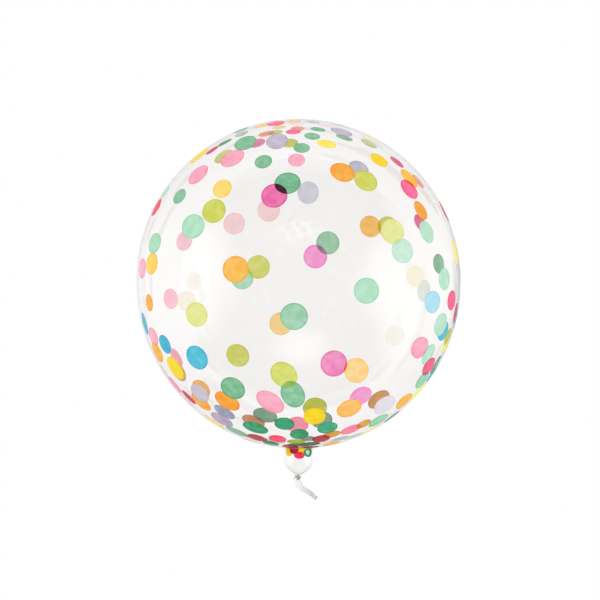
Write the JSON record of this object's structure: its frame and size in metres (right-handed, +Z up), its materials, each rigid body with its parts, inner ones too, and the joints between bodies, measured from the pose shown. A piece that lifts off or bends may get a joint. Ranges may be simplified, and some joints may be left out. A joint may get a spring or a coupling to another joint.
{
  "type": "clear film balloon",
  "caption": "Round inflated balloon of clear film printed with confetti dots, its neck gathered and tied with thread, lying on its side.",
  "frame": {"origin": "centre of the small flat spot on which the lying balloon rests, straight below the middle of the ball", "axes": "+Z up from the floor through the middle of the ball, -Y along the neck towards the tied end, +X to the right when looking along +Y"},
  "size_m": [0.3996, 0.4718, 0.3983],
  "materials": {
    "clear_film": "clear stretched plastic film, glossy",
    "tie_thread": "clear twisted nylon thread",
    "printed_ink": "thin glossy printing ink"
  },
  "bodies": {
    "root": {"film_balloon": "clear_film", "neck_tie": "tie_thread"}
  },
  "joints": []
}
